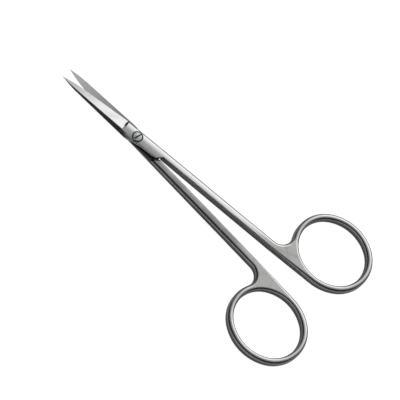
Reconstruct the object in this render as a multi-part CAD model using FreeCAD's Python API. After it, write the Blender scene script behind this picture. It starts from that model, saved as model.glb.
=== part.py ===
import FreeCAD, Part
import math
import os

# Fine straight scissors, about 115 mm long, with two finger rings and a slotted pivot screw.
# Frame: origin on the pivot axis, in the plane where the two halves meet.
# +X runs along the closed blades to their tips and +Z points out of the screw's head.
# Both halves are one forging used twice: the rear half is the front half turned over about X.
# Lengths are in millimetres and angles in degrees.

# How far the halves stand open, as the part lies
opening_deg = 6.8

# Places along the closed scissors, measured from the pivot axis
tip_x = 30.3
ring_centre_x = 70.6

# Thickness of the forging: level from the rings to the middle of the shank,
# then one long arc that thins it through the joint to the tip
shank_half_thickness = 1.8
joint_half_thickness = 1.38
level_end_x = 40.0

# Crowned outer face and rounded outer edge, carried on from the shank over the lap to the blade
crown_radius = 6.8
shank_outer_edge_radius = 1.3

# Blade in plan, alike on both sides of the axis
blade_root_half_width = 2.62
blade_root_x = 4.0
blade_taper_deg = 4.25
point_radius = 47.0

# Blade in section
bevel_deg = 15.5
edge_land = 0.08
bevel_start_x = 4.95
bevel_runout_radius = 0.8
back_deg = 37.0
back_land = 0.22
set_depth = 0.08

# Lap at the joint
lap_half_width = 1.85
lap_neck_x = 2.9
lap_neck_length = 6.0
lap_neck_radius = 9.0
lap_edge_radius = 0.8
shoulder_outer_x = 7.6
shoulder_inner_x = 10.1

# Shank and finger ring
shank_width = 2.56
shank_inner_edge_radius = 0.35
ring_edge_radius = 1.12
ring_hole_length = 23.2
ring_hole_width = 20.6
ring_join_deg = 55.0
ring_band = 2.12
ring_hole_edge_radius = 0.98
crotch_radius = 4.0

# Pivot screw
screw_radius = 1.0
head_radius = 1.62
head_seat_depth = 0.62
head_rise = 0.14
head_chamfer = 0.22
slot_width = 0.46
slot_depth = 0.42
slot_deg = 75.0
screw_end_chamfer = 0.15

# Clearances
parting_gap = 0.03
shank_gap = 0.06
shoulder_gap = 0.12
pivot_clearance = 0.04
head_clearance = 0.09
thread_clearance = 0.01

# Run-out of cutting tools past the metal, and the least length that counts
spare = 4.0
tiny = 0.001

# Values that follow from the ones above
outer_y = -(shank_gap / 2 + shank_width)
inner_y = -shank_gap / 2
seam_y = (inner_y + outer_y) / 2
taper = math.radians(blade_taper_deg)
arc_radius = level_end_x ** 2 / (2 * (shank_half_thickness - joint_half_thickness))
crown_y = (outer_y + lap_half_width) / 2
ring_outer_a = ring_hole_length / 2 + ring_band
ring_outer_b = ring_hole_width / 2 + ring_band
ring_centre_y = inner_y - ring_outer_b
ring_back_x = -ring_centre_x - ring_outer_a
tool_reach = 4 * shank_width

# The rings are ovals of four arcs: two end arcs shifted along X and two side arcs shifted along Y,
# which meet where both stand at the join angle to X
ring_join = math.radians(ring_join_deg)
ring_excess = (ring_hole_length - ring_hole_width) / 2
ring_end_shift = ring_excess / (1 + math.tan(ring_join) - 1 / math.cos(ring_join))
ring_side_shift = ring_end_shift * math.tan(ring_join)
ring_hole_end_radius = ring_hole_length / 2 - ring_end_shift
ring_hole_side_radius = ring_hole_width / 2 + ring_side_shift

# Where the full-thickness handle blank ends, ahead of both shoulders
handle_front_x = -shoulder_outer_x / 2

Z_AXIS = FreeCAD.Vector(0, 0, 1)
Y_AXIS = FreeCAD.Vector(0, 1, 0)
X_AXIS = FreeCAD.Vector(1, 0, 0)
ORIGIN = FreeCAD.Vector(0, 0, 0)

# A third of a turn about this line carries X to Y and Y to Z
CUBE_DIAGONAL = FreeCAD.Vector(1, 1, 1)


def at(x, y, z=0.0):
    """A point or a direction."""
    return FreeCAD.Vector(x, y, z)


def outline(edges):
    """Closed wire from edges in any order."""
    return Part.Wire(Part.__sortEdges__(edges))


def plan_arc(centre, radius, start_deg, end_deg):
    """Arc in plan, counter-clockwise from one angle to another."""
    circle = Part.Circle(centre, Z_AXIS, radius)
    arc = Part.ArcOfCircle(circle, math.radians(start_deg), math.radians(end_deg))
    return arc.toShape()


def prism(wire, low, high):
    """Solid over a flat outline, between two heights."""
    solid = Part.Face(wire).extrude(at(0, 0, high - low))
    solid.translate(at(0, 0, low))
    return solid


def blade_half_width(x):
    """Half width of the straight-sided part of the blade at x."""
    return blade_root_half_width - math.tan(taper) * (x - blade_root_x)


def outer_height(x):
    """Height of the forging's outer face above the parting plane at x."""
    run = max(0.0, x + level_end_x)
    return shank_half_thickness - run ** 2 / (2 * arc_radius)


def rounded_outline(corners):
    """Closed outline of straight runs. Each corner is (x, y, radius), and 0 leaves it sharp."""
    count = len(corners)
    edges = []
    run_starts = []
    run_ends = []
    for i, (x, y, radius) in enumerate(corners):
        corner = at(x, y)
        back = at(*corners[i - 1][:2]) - corner
        ahead = at(*corners[(i + 1) % count][:2]) - corner
        back.normalize()
        ahead.normalize()
        half_angle = back.getAngle(ahead) / 2
        tangent_length = radius / math.tan(half_angle)
        start = corner + back * tangent_length
        end = corner + ahead * tangent_length
        if radius > 0:
            inward = back + ahead
            inward.normalize()
            middle = corner + inward * (radius / math.sin(half_angle) - radius)
            edges.append(Part.Arc(start, middle, end).toShape())
        run_ends.append(start)
        run_starts.append(end)
    for i in range(count):
        edges.append(Part.makeLine(run_starts[i], run_ends[(i + 1) % count]))
    return outline(edges)


def point_arc(side):
    """Where one edge of the blade leaves its straight run, and the centre of its curve to the tip.

    side is 1 for the back of the blade (+Y) and -1 for its cutting edge (-Y).
    """
    tip = at(tip_x, 0)
    along = at(math.cos(taper), -side * math.sin(taper))
    outward = at(math.sin(taper), side * math.cos(taper))
    offset = blade_half_width(tip_x) * math.cos(taper)
    run = math.sqrt(2 * point_radius * offset - offset ** 2)
    start = tip + outward * offset - along * run
    centre = start - outward * point_radius
    return start, centre


def point_outline():
    """Outline that trims the blade to its taper and its curved point, and not the lap."""
    tip = at(tip_x, 0)
    edges = []
    for side in (1, -1):
        start, centre = point_arc(side)
        middle = (start + tip) * 0.5 - centre
        middle.normalize()
        root = at(blade_root_x, side * blade_half_width(blade_root_x))
        wide = at(blade_root_x, side * tool_reach)
        edges.append(Part.Arc(start, centre + middle * point_radius, tip).toShape())
        edges.append(Part.makeLine(start, root))
        edges.append(Part.makeLine(root, wide))
        edges.append(Part.makeLine(wide, at(ring_back_x, side * tool_reach)))
    edges.append(Part.makeLine(at(ring_back_x, tool_reach), at(ring_back_x, -tool_reach)))
    return outline(edges)


def slope_cutter(side, slope_deg, land, start_x, runout):
    """Tool that leaves a slope rising inward from one edge of the blade.

    The slope is flat along the straight run and conical round the point. The flat part starts at
    start_x with a wall that runs out in the given radius, or square where the radius is 0.
    """
    slope = math.radians(slope_deg)
    along = at(math.cos(taper), -side * math.sin(taper))
    inward = at(-math.sin(taper), -side * math.cos(taper))
    up_slope = inward * math.cos(slope) + Z_AXIS * math.sin(slope)
    normal = Z_AXIS * math.cos(slope) - inward * math.sin(slope)
    edge = at(start_x, side * blade_half_width(start_x), land)
    length = tip_x - start_x + spare
    origin = edge - up_slope * spare

    def place(run, rise):
        return origin + along * run + normal * rise

    lines = [
        Part.makeLine(place(runout, 0), place(length, 0)),
        Part.makeLine(place(length, 0), place(length, spare)),
        Part.makeLine(place(length, spare), place(0, spare)),
        Part.makeLine(place(0, spare), place(0, runout)),
    ]
    if runout > 0:
        diagonal = runout * (1 - math.sqrt(0.5))
        corner = Part.Arc(place(0, runout), place(diagonal, diagonal), place(runout, 0))
        lines.append(corner.toShape())
    flat = Part.Face(outline(lines)).extrude(up_slope * (spare + tool_reach))

    start, centre = point_arc(side)
    radial = start - centre
    radial.normalize()
    inner = point_radius - 2 * blade_root_half_width
    outer = point_radius + spare

    def ring_point(radius, rise):
        return centre + radial * radius + Z_AXIS * rise

    rise_in = land + math.tan(slope) * (point_radius - inner)
    rise_out = land + math.tan(slope) * (point_radius - outer)
    top = rise_in + spare
    corners = [
        ring_point(inner, rise_in),
        ring_point(outer, rise_out),
        ring_point(outer, top),
        ring_point(inner, top),
    ]
    section = Part.Face(Part.makePolygon(corners + [corners[0]]))
    turn = math.degrees((tip_x - start.x + spare) / point_radius)
    cone = section.revolve(centre, Z_AXIS, -side * turn)
    return [flat, cone]


def crown_drop(y):
    """How far the crowned outer face lies below its crest at y."""
    return crown_radius - math.sqrt(crown_radius ** 2 - (y - crown_y) ** 2)


def rounded_edge(x, wall_y, radius, crowned):
    """Rounding between the outer face and an upright wall: its two ends, and a point between."""
    side = math.copysign(1, wall_y - crown_y)
    centre = at(x, wall_y - side * radius, shank_half_thickness - radius)
    outward = at(0, 0, 1)
    if crowned:
        crown_centre = at(x, crown_y, shank_half_thickness - crown_radius)
        reach = crown_radius - radius
        centre.z = crown_centre.z + math.sqrt(reach ** 2 - (centre.y - crown_y) ** 2)
        outward = centre - crown_centre
        outward.normalize()
    between = outward + at(0, side)
    between.normalize()
    return centre + outward * radius, centre + between * radius, at(x, wall_y, centre.z)


def crowned_section():
    """Section of the room under the crowned outer face, where the forging starts to thin.

    Its rounded edge is the one in line with the shank's outer side.
    """
    x = -level_end_x
    crown_end, between, wall_top = rounded_edge(x, outer_y, shank_outer_edge_radius, True)
    crest = at(x, crown_y, shank_half_thickness)
    far_y = crown_y + 2 * blade_root_half_width
    far = at(x, far_y, shank_half_thickness - crown_drop(far_y))
    far_low = at(x, far_y, -spare)
    wall_low = at(x, outer_y, -spare)
    return Part.Face(outline([
        Part.Arc(far, crest, crown_end).toShape(),
        Part.Arc(crown_end, between, wall_top).toShape(),
        Part.makeLine(wall_top, wall_low),
        Part.makeLine(wall_low, far_low),
        Part.makeLine(far_low, far),
    ]))


def crowned_envelope():
    """Room under the crowned outer face, along the thinning arc from the shoulder to the tip."""
    arc_centre = at(-level_end_x, 0, shank_half_thickness - arc_radius)
    turn = math.degrees((tip_x + level_end_x + spare) / arc_radius)
    return crowned_section().revolve(arc_centre, Y_AXIS, turn)


def is_lap_rim(edge):
    """True for the outer face's edges along the free side of the lap and the back of the blade."""
    first = edge.Vertexes[0].Point
    last = edge.Vertexes[-1].Point
    lengthwise = abs(first.x - last.x) > abs(first.z - last.z) + abs(first.y - last.y)
    above = min(first.z, last.z) > edge_land
    return lengthwise and above and min(first.y, last.y) > 0


def lap_and_blade():
    """Upper layer of a half from the shoulder to the tip, ground to its final shape."""
    end_x = tip_x + spare
    back_x = -shoulder_inner_x - spare
    neck_end_x = lap_neck_x - lap_neck_length
    corners = [
        (end_x, blade_half_width(end_x), 0),
        (lap_neck_x, blade_half_width(lap_neck_x), lap_neck_radius),
        (neck_end_x, lap_half_width, lap_neck_radius),
        (back_x, lap_half_width, 0),
        (back_x, outer_y, 0),
        (end_x, outer_y, 0),
    ]
    blank = prism(rounded_outline(corners), 0, spare).common(crowned_envelope())
    rims = [edge for edge in blank.Edges if is_lap_rim(edge)]
    body = blank.makeFillet(lap_edge_radius, rims)
    body = body.common(prism(point_outline(), -spare, spare))
    bevel = slope_cutter(-1, bevel_deg, edge_land, bevel_start_x, bevel_runout_radius)
    back = slope_cutter(1, back_deg, back_land, lap_neck_x, 0)
    for tool in bevel + back:
        body = body.cut(tool)
    return body.cut(set_tool()).cut(shoulder_block(1, 0))


def set_tool():
    """Roller that bows the inner face, so closed blades touch at their tips first."""
    half = (tip_x - blade_root_x) / 2
    radius = half ** 2 / (2 * set_depth)
    start = at(blade_root_x + half, -tool_reach, set_depth - radius)
    return Part.makeCylinder(radius, 2 * tool_reach, start, Y_AXIS)


def shoulder_block(side, gap):
    """Block on the ring side of the oblique shoulder that runs out to the given side."""
    edge_y = side * -outer_y
    inner = at(-shoulder_inner_x - gap, 0)
    step = at(-shoulder_outer_x - gap, edge_y) - inner
    near = inner + step * 2
    far = inner - step * 2
    corners = [near, far, at(ring_back_x, far.y), at(ring_back_x, near.y), near]
    return prism(Part.makePolygon(corners), -spare, spare)


def crotch():
    """Centre of the curve between shank and ring, and the angle at which the ring meets it."""
    reach = ring_hole_end_radius + ring_band + crotch_radius
    y = outer_y - crotch_radius
    rise = y - ring_centre_y
    x = ring_end_shift - ring_centre_x + math.sqrt(reach ** 2 - rise ** 2)
    return at(x, y), math.degrees(math.asin(rise / reach))


def ring_arcs(offset, first_deg, last_deg):
    """Arcs of the finger hole's oval, grown by an offset.

    They run counter-clockwise, from first_deg on the side arc beside the axis to last_deg on the
    end arc that faces the joint.
    """
    centre = at(-ring_centre_x, ring_centre_y)
    end_shift = at(ring_end_shift, 0)
    side_shift = at(0, ring_side_shift)
    end_radius = ring_hole_end_radius + offset
    side_radius = ring_hole_side_radius + offset
    return [
        plan_arc(centre - side_shift, side_radius, first_deg, 180 - ring_join_deg),
        plan_arc(centre - end_shift, end_radius, 180 - ring_join_deg, 180 + ring_join_deg),
        plan_arc(centre + side_shift, side_radius, 180 + ring_join_deg, 360 - ring_join_deg),
        plan_arc(centre + end_shift, end_radius, -ring_join_deg, last_deg),
    ]


def is_rim(edge):
    """True for edges along the forging's two outer faces, and not for upright or end ones."""
    box = edge.BoundBox
    return box.ZLength < shank_half_thickness and box.XMin < handle_front_x - tiny


def is_hole_rim(edge):
    """True for rims that lie inside the middle line of the finger ring."""
    box = edge.BoundBox
    half_length = (ring_hole_length + ring_band) / 2
    half_width = (ring_hole_width + ring_band) / 2
    in_length = abs(box.XMin + ring_centre_x) < half_length > abs(box.XMax + ring_centre_x)
    in_width = abs(box.YMin - ring_centre_y) < half_width > abs(box.YMax - ring_centre_y)
    return is_rim(edge) and in_length and in_width


def is_outer_rim(edge):
    """True for rims along the outside of the ring and its crotch, and not for those of the seam."""
    box = edge.BoundBox
    at_seam = abs(box.YMin - seam_y) < tiny or box.XLength < tiny
    return is_rim(edge) and not is_hole_rim(edge) and not at_seam


def full_section(x, crowned, outer_radius):
    """Section of the shank at full thickness, at x: with crowned faces, or with level ones."""
    inner = rounded_edge(x, inner_y, shank_inner_edge_radius, crowned)
    outer = rounded_edge(x, outer_y, outer_radius, crowned)
    edges = []
    for side in (1, -1):
        inner_end, inner_between, inner_top = [at(p.x, p.y, side * p.z) for p in inner]
        outer_end, outer_between, outer_top = [at(p.x, p.y, side * p.z) for p in outer]
        edges.append(Part.Arc(inner_top, inner_between, inner_end).toShape())
        if crowned:
            centre = at(x, crown_y, side * (shank_half_thickness - crown_radius))
            middle = (inner_end + outer_end) * 0.5 - centre
            middle.normalize()
            face = Part.Arc(inner_end, centre + middle * crown_radius, outer_end).toShape()
        else:
            face = Part.makeLine(inner_end, outer_end)
        edges.append(face)
        edges.append(Part.Arc(outer_end, outer_between, outer_top).toShape())
    edges.append(Part.makeLine(inner[2], at(x, inner_y, -inner[2].z)))
    edges.append(Part.makeLine(outer[2], at(x, outer_y, -outer[2].z)))
    return outline(edges)


def crowned_shank(back_x):
    """Shank from the joint back to where the crotch starts, where its crowned faces end level."""
    plan = rounded_outline([
        (-level_end_x, outer_y, 0),
        (handle_front_x, outer_y, 0),
        (handle_front_x, inner_y, 0),
        (-level_end_x, inner_y, 0),
    ])
    room = crowned_envelope()
    bar = prism(plan, -spare, spare).common(room).common(room.mirror(ORIGIN, Z_AXIS))
    rims = [edge for edge in bar.Edges if is_rim(edge) and edge.BoundBox.YMin > inner_y - tiny]
    bar = bar.makeFillet(shank_inner_edge_radius, rims)
    front = full_section(-level_end_x, True, shank_outer_edge_radius)
    back = full_section(back_x, False, ring_edge_radius)
    return bar.fuse(Part.makeLoft([front, back], True, True))


def inner_strip(front_x):
    """Strip beside the axis whose crisp edges soften on their way back to the ring."""
    sections = []
    for x, radius in ((front_x, shank_inner_edge_radius), (-ring_centre_x, ring_edge_radius)):
        corners = [
            (seam_y, -shank_half_thickness, 0),
            (inner_y, -shank_half_thickness, radius),
            (inner_y, shank_half_thickness, radius),
            (seam_y, shank_half_thickness, 0),
        ]
        section = rounded_outline(corners)
        section.rotate(ORIGIN, CUBE_DIAGONAL, 120)
        section.translate(at(x, 0))
        sections.append(section)
    return Part.makeLoft(sections, True, True)


def shank_and_ring():
    """Shank and finger ring at full thickness, with all their long edges rounded.

    They are built in three pieces, because the rounding differs from edge to edge: the ring with
    the crotch and half of the shank beside it, the other half of that stretch, and the rest.
    """
    crotch_centre, touch_deg = crotch()
    front_x = crotch_centre.x
    top = at(-ring_centre_x, inner_y)
    seam_back = at(-ring_centre_x, seam_y)
    seam_front = at(front_x, seam_y)
    edges = ring_arcs(ring_band, 90, touch_deg)
    edges.append(plan_arc(crotch_centre, crotch_radius, 90, 180 + touch_deg))
    edges.append(Part.makeLine(at(front_x, outer_y), seam_front))
    edges.append(Part.makeLine(seam_front, seam_back))
    edges.append(Part.makeLine(seam_back, top))
    hole = prism(outline(ring_arcs(0, ring_join_deg, ring_join_deg)), -spare, spare)
    body = prism(outline(edges), -shank_half_thickness, shank_half_thickness).cut(hole)
    outer_rims = [edge for edge in body.Edges if is_outer_rim(edge)]
    body = body.makeFillet(ring_edge_radius, outer_rims)
    body = body.fuse([inner_strip(front_x), crowned_shank(front_x)]).removeSplitter()
    hole_rims = [edge for edge in body.Edges if is_hole_rim(edge)]
    return body.makeFillet(ring_hole_edge_radius, hole_rims)


def forged_half():
    """One half before its pivot hole: blade, lap, shank and ring in one piece."""
    size = 2 * tool_reach
    upper = Part.makeBox(size, size, spare, at(handle_front_x - size / 2, -size / 2, 0))
    lower = upper.copy()
    lower.translate(at(0, 0, -spare))
    handle = shank_and_ring()
    handle = handle.cut(upper.cut(shoulder_block(1, 0)))
    handle = handle.cut(lower.cut(shoulder_block(-1, shoulder_gap)))
    return lap_and_blade().fuse(handle).removeSplitter()


def outer_face_z():
    """Height of the lap's crowned outer face at the pivot, above the parting plane."""
    return outer_height(0) - crown_drop(0)


def front_half(forging):
    """The half under the screw's head: it turns on the screw, which is countersunk square in it."""
    seat_z = outer_face_z() - head_seat_depth
    hole = Part.makeCylinder(screw_radius + pivot_clearance, 2 * spare, at(0, 0, -spare))
    seat = Part.makeCylinder(head_radius + head_clearance, spare, at(0, 0, seat_z))
    half = forging.cut(hole).cut(seat)
    half.rotate(ORIGIN, Z_AXIS, opening_deg / 2)
    half.translate(at(0, 0, parting_gap / 2))
    return half


def rear_half(forging):
    """The same forging turned over, with a tapped hole that holds the screw fast."""
    hole = Part.makeCylinder(screw_radius + thread_clearance, 2 * spare, at(0, 0, -spare))
    half = forging.cut(hole)
    half.rotate(ORIGIN, X_AXIS, 180)
    half.rotate(ORIGIN, Z_AXIS, -opening_deg / 2)
    half.translate(at(0, 0, -parting_gap / 2))
    return half


def pivot_screw():
    """Domed, slotted screw: its head lies in the front half and its end flush in the rear one."""
    face_z = outer_face_z() + parting_gap / 2
    seat_z = face_z - head_seat_depth + head_clearance
    dome_edge = head_radius - head_chamfer
    dome_radius = (dome_edge ** 2 + head_rise ** 2) / (2 * head_rise)
    dome = Part.makeSphere(dome_radius, at(0, 0, face_z + head_rise - dome_radius))
    corners = [
        at(0, 0, -face_z),
        at(screw_radius - screw_end_chamfer, 0, -face_z),
        at(screw_radius, 0, screw_end_chamfer - face_z),
        at(screw_radius, 0, seat_z),
        at(head_radius, 0, seat_z),
        at(head_radius, 0, face_z - head_chamfer),
        at(dome_edge, 0, face_z),
        at(dome_edge, 0, face_z + head_rise),
        at(0, 0, face_z + head_rise),
        at(0, 0, -face_z),
    ]
    screw = Part.Face(Part.makePolygon(corners)).revolve(ORIGIN, Z_AXIS, 360).common(dome)
    slot_floor = face_z + head_rise - slot_depth
    slot = Part.makeBox(spare, slot_width, spare, at(-spare / 2, -slot_width / 2, slot_floor))
    slot.rotate(ORIGIN, Z_AXIS, slot_deg)
    return screw.cut(slot)


def main():
    forging = forged_half()
    pieces = {
        "front_half": front_half(forging),
        "rear_half": rear_half(forging),
        "pivot_screw": pivot_screw(),
    }
    os.makedirs("parts", exist_ok=True)
    for name, piece in pieces.items():
        piece.exportStep("parts/" + name + ".step")
        box = piece.optimalBoundingBox()
        print(name, piece.isValid(), len(piece.Solids), round(piece.Volume, 2), box)


main()
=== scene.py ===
import logging
import math
from dataclasses import dataclass
from enum import Enum
from typing import Iterable, NamedTuple, Union

import bmesh
import bpy
from mathutils import Euler, Matrix, Quaternion, Vector


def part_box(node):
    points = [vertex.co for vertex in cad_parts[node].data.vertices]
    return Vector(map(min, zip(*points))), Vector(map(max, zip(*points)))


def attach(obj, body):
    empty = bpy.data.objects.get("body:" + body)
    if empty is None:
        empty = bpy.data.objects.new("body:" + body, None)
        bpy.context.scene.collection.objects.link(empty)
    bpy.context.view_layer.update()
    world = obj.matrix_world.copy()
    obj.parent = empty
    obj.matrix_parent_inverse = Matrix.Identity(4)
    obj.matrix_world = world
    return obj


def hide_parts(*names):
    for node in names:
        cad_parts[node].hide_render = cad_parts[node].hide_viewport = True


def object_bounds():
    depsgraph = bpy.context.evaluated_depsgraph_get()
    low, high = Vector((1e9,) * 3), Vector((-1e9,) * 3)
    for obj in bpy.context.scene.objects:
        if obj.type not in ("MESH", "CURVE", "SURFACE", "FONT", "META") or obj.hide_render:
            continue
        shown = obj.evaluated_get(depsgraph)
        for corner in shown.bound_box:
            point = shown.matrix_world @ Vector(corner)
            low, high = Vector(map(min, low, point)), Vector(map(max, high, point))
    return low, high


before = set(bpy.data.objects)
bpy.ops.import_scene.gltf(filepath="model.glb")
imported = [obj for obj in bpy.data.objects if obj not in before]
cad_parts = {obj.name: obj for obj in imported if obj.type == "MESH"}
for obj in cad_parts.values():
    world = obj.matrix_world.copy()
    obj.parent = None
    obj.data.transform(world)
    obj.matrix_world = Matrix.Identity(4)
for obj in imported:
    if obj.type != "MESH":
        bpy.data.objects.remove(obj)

# Fine straight scissors with two finger rings and a slotted pivot screw.
# Everything is in metres, in the frame of the CAD model: the origin is on the pivot axis,
# +X runs to the tips of the closed blades and +Z points out of the screw's head.

LOG = logging.getLogger("scissors")
MM = 0.001
CAD_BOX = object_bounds()
SHADED_SHANK = (0.50, 0.505, 0.50, 1.0)

Setting = Union[float, int, str, bool, tuple[float, ...], bpy.types.NodeSocket, bpy.types.Material]


class SocketKind(Enum):
    """Kinds of socket that the node groups here have."""

    VALUE = "NodeSocketFloat"
    VECTOR = "NodeSocketVector"
    GEOMETRY = "NodeSocketGeometry"
    MATERIAL = "NodeSocketMaterial"
    COUNT = "NodeSocketInt"


class Port(NamedTuple):
    """A named input or output of a node group."""

    name: str
    kind: SocketKind
    default: float | int | None = None


class Graph:
    """A node tree, with short typed ways to add nodes to it."""

    def __init__(self, tree: bpy.types.NodeTree) -> None:
        """Keeps the tree that the nodes go into."""
        self.tree = tree

    def add(
        self, kind: str, inputs: dict[str | int, Setting] | None = None, **settings: Setting
    ) -> bpy.types.Node:
        """Adds a node.

        Args:
            kind: Blender's name for the node's type.
            inputs: What each input gets, a value or the output that feeds it.
            **settings: The node's own properties.

        Returns:
            The new node.
        """
        node = self.tree.nodes.new(kind)
        for name, setting in settings.items():
            setattr(node, name, setting)
        for key, value in (inputs or {}).items():
            self.feed(node.inputs[key], value)
        return node

    def feed(self, socket: bpy.types.NodeSocket, value: Setting) -> None:
        """Gives an input its value, or links it to the output that feeds it."""
        if isinstance(value, bpy.types.NodeSocket):
            self.tree.links.new(value, socket)
        else:
            socket.default_value = value

    def math(self, operation: str, *terms: Setting) -> bpy.types.NodeSocket:
        """Result of a Math node on one to three terms."""
        return self.add("ShaderNodeMath", dict(enumerate(terms)), operation=operation).outputs[0]

    def split(self, vector: bpy.types.NodeSocket) -> tuple[bpy.types.NodeSocket, ...]:
        """X, Y and Z of a vector."""
        node = self.add("ShaderNodeSeparateXYZ", {0: vector})
        return node.outputs[0], node.outputs[1], node.outputs[2]

    def join(self, x: Setting = 0.0, y: Setting = 0.0, z: Setting = 0.0) -> bpy.types.NodeSocket:
        """Vector of X, Y and Z."""
        return self.add("ShaderNodeCombineXYZ", {0: x, 1: y, 2: z}).outputs[0]

    def from_z_axis(self, x: Setting, y: Setting) -> bpy.types.NodeSocket:
        """Distance of a place from the Z axis."""
        node = self.add("ShaderNodeVectorMath", {0: self.join(x, y)}, operation="LENGTH")
        return node.outputs["Value"]

    def size_of(self, value: Setting) -> bpy.types.NodeSocket:
        """A value without its sign."""
        return self.math("ABSOLUTE", value)

    def most(self, *values: Setting) -> bpy.types.NodeSocket:
        """Greatest of two or more values."""
        result = values[0]
        for value in values[1:]:
            result = self.math("MAXIMUM", result, value)
        return result

    def step(
        self, value: Setting, start: Setting, end: Setting, low: Setting = 0.0, high: Setting = 1.0
    ) -> bpy.types.NodeSocket:
        """A smooth step between two levels.

        Args:
            value: What is tested.
            start: Where the step starts; it may lie above the end for a falling step.
            end: Where the step is complete.
            low: The level before the step.
            high: The level after it.

        Returns:
            The output that carries the level.
        """
        node = self.add(
            "ShaderNodeMapRange",
            {"Value": value, "From Min": start, "From Max": end, "To Min": low, "To Max": high},
            interpolation_type="SMOOTHSTEP",
        )
        return node.outputs["Result"]

    def product(self, *factors: Setting) -> bpy.types.NodeSocket:
        """Product of two or more values."""
        result = factors[0]
        for factor in factors[1:]:
            result = self.math("MULTIPLY", result, factor)
        return result

    def blend(self, mask: Setting, start: Setting, end: Setting) -> bpy.types.NodeSocket:
        """Value between two values, by a mask."""
        node = self.add("ShaderNodeMix", {0: mask, 2: start, 3: end}, data_type="FLOAT")
        return node.outputs[0]

    def blend_colour(self, mask: Setting, start: Setting, end: Setting) -> bpy.types.NodeSocket:
        """Colour between two colours, by a mask."""
        node = self.add("ShaderNodeMix", {0: mask, 6: start, 7: end}, data_type="RGBA")
        return node.outputs[2]

    def noise(
        self, vector: Setting, scale: Setting, detail: float = 2.0, roughness: float = 0.5
    ) -> bpy.types.NodeSocket:
        """Value of a noise texture at a point."""
        inputs = {"Vector": vector, "Scale": scale, "Detail": detail, "Roughness": roughness}
        return self.add("ShaderNodeTexNoise", inputs).outputs[0]

    def group(self, tree: bpy.types.NodeTree, **inputs: Setting) -> bpy.types.Node:
        """Places a shared effect with its own values; an input's spaces are written as _."""
        named = {name.replace("_", " "): value for name, value in inputs.items()}
        return self.add("ShaderNodeGroup", named, node_tree=tree)


class Effect:
    """A shader node group that several finishes share."""

    name = "effect"
    inputs: tuple[Port, ...] = ()
    outputs: tuple[Port, ...] = ()

    def build(self) -> bpy.types.NodeTree:
        """Makes the group.

        Returns:
            The group's tree, ready to be placed in materials.
        """
        tree = bpy.data.node_groups.new(self.name, "ShaderNodeTree")
        add_ports(tree, self.inputs, self.outputs)
        graph = Graph(tree)
        given = graph.add("NodeGroupInput")
        results = self.wire(graph, {port.name: given.outputs[port.name] for port in self.inputs})
        graph.add("NodeGroupOutput", results)
        return tree

    def wire(
        self, graph: Graph, given: dict[str, bpy.types.NodeSocket]
    ) -> dict[str, bpy.types.NodeSocket]:
        """Adds the effect's nodes.

        Args:
            graph: The group's graph.
            given: The group's inputs by name.

        Returns:
            What feeds each of the group's outputs, by name.
        """
        raise NotImplementedError


def add_ports(
    tree: bpy.types.NodeTree, inputs: Iterable[Port], outputs: Iterable[Port]
) -> dict[str, str]:
    """Gives a node group its named sockets.

    Args:
        tree: The group.
        inputs: Its inputs, in order.
        outputs: Its outputs, in order.

    Returns:
        Each input's identifier, by its name.
    """
    identifiers = {}
    for ports, in_out in ((inputs, "INPUT"), (outputs, "OUTPUT")):
        for port in ports:
            socket = tree.interface.new_socket(
                name=port.name, in_out=in_out, socket_type=port.kind.value
            )
            if port.default is not None:
                socket.default_value = port.default
            if in_out == "INPUT":
                identifiers[port.name] = socket.identifier
    return identifiers


class GroundGrain(Effect):
    """Fine lines that a grinding belt leaves along a piece."""

    name = "ground_grain"
    inputs = (
        Port("Vector", SocketKind.VECTOR),
        Port("Lines", SocketKind.VALUE, 4000.0),
        Port("Stretch", SocketKind.VALUE, 40.0),
    )
    outputs = (Port("Height", SocketKind.VALUE), Port("Streak", SocketKind.VALUE))

    def wire(
        self, graph: Graph, given: dict[str, bpy.types.NodeSocket]
    ) -> dict[str, bpy.types.NodeSocket]:
        """Two stretched noises, one of single lines and one of broader streaks."""
        x, y, z = graph.split(given["Vector"])
        along = graph.math("DIVIDE", x, given["Stretch"])
        drawn = graph.join(along, y, z)
        fine = graph.noise(drawn, given["Lines"], 3.0, 0.6)
        broad = graph.noise(drawn, graph.math("MULTIPLY", given["Lines"], 0.3), 2.0)
        return {
            "Height": graph.math("MULTIPLY_ADD", fine, 0.6, graph.math("MULTIPLY", broad, 0.4)),
            "Streak": graph.step(broad, 0.3, 0.7),
        }


class HandlingScratches(Effect):
    """Sparse hair scratches that lie across each other, from trays and other tools."""

    name = "handling_scratches"
    inputs = (
        Port("Vector", SocketKind.VECTOR),
        Port("Scale", SocketKind.VALUE, 700.0),
        Port("Rarity", SocketKind.VALUE, 0.66),
    )
    outputs = (Port("Mask", SocketKind.VALUE),)
    turns_deg = (24.0, -41.0, 73.0)
    length_ratio = 28.0
    crest_width = 0.05

    def wire(
        self, graph: Graph, given: dict[str, bpy.types.NodeSocket]
    ) -> dict[str, bpy.types.NodeSocket]:
        """One stretched noise for each way the scratches lie, cut down to its crests."""
        end = graph.math("ADD", given["Rarity"], self.crest_width)
        masks = []
        for turn in self.turns_deg:
            inputs = {
                "Vector": given["Vector"],
                "Rotation": (0.0, 0.0, math.radians(turn)),
                "Scale": (self.length_ratio, 1.0, 1.0),
            }
            drawn = graph.add("ShaderNodeMapping", inputs, vector_type="TEXTURE").outputs[0]
            crest = graph.noise(drawn, given["Scale"], 1.0)
            masks.append(graph.step(crest, given["Rarity"], end))
        return {"Mask": graph.most(*masks)}


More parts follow.
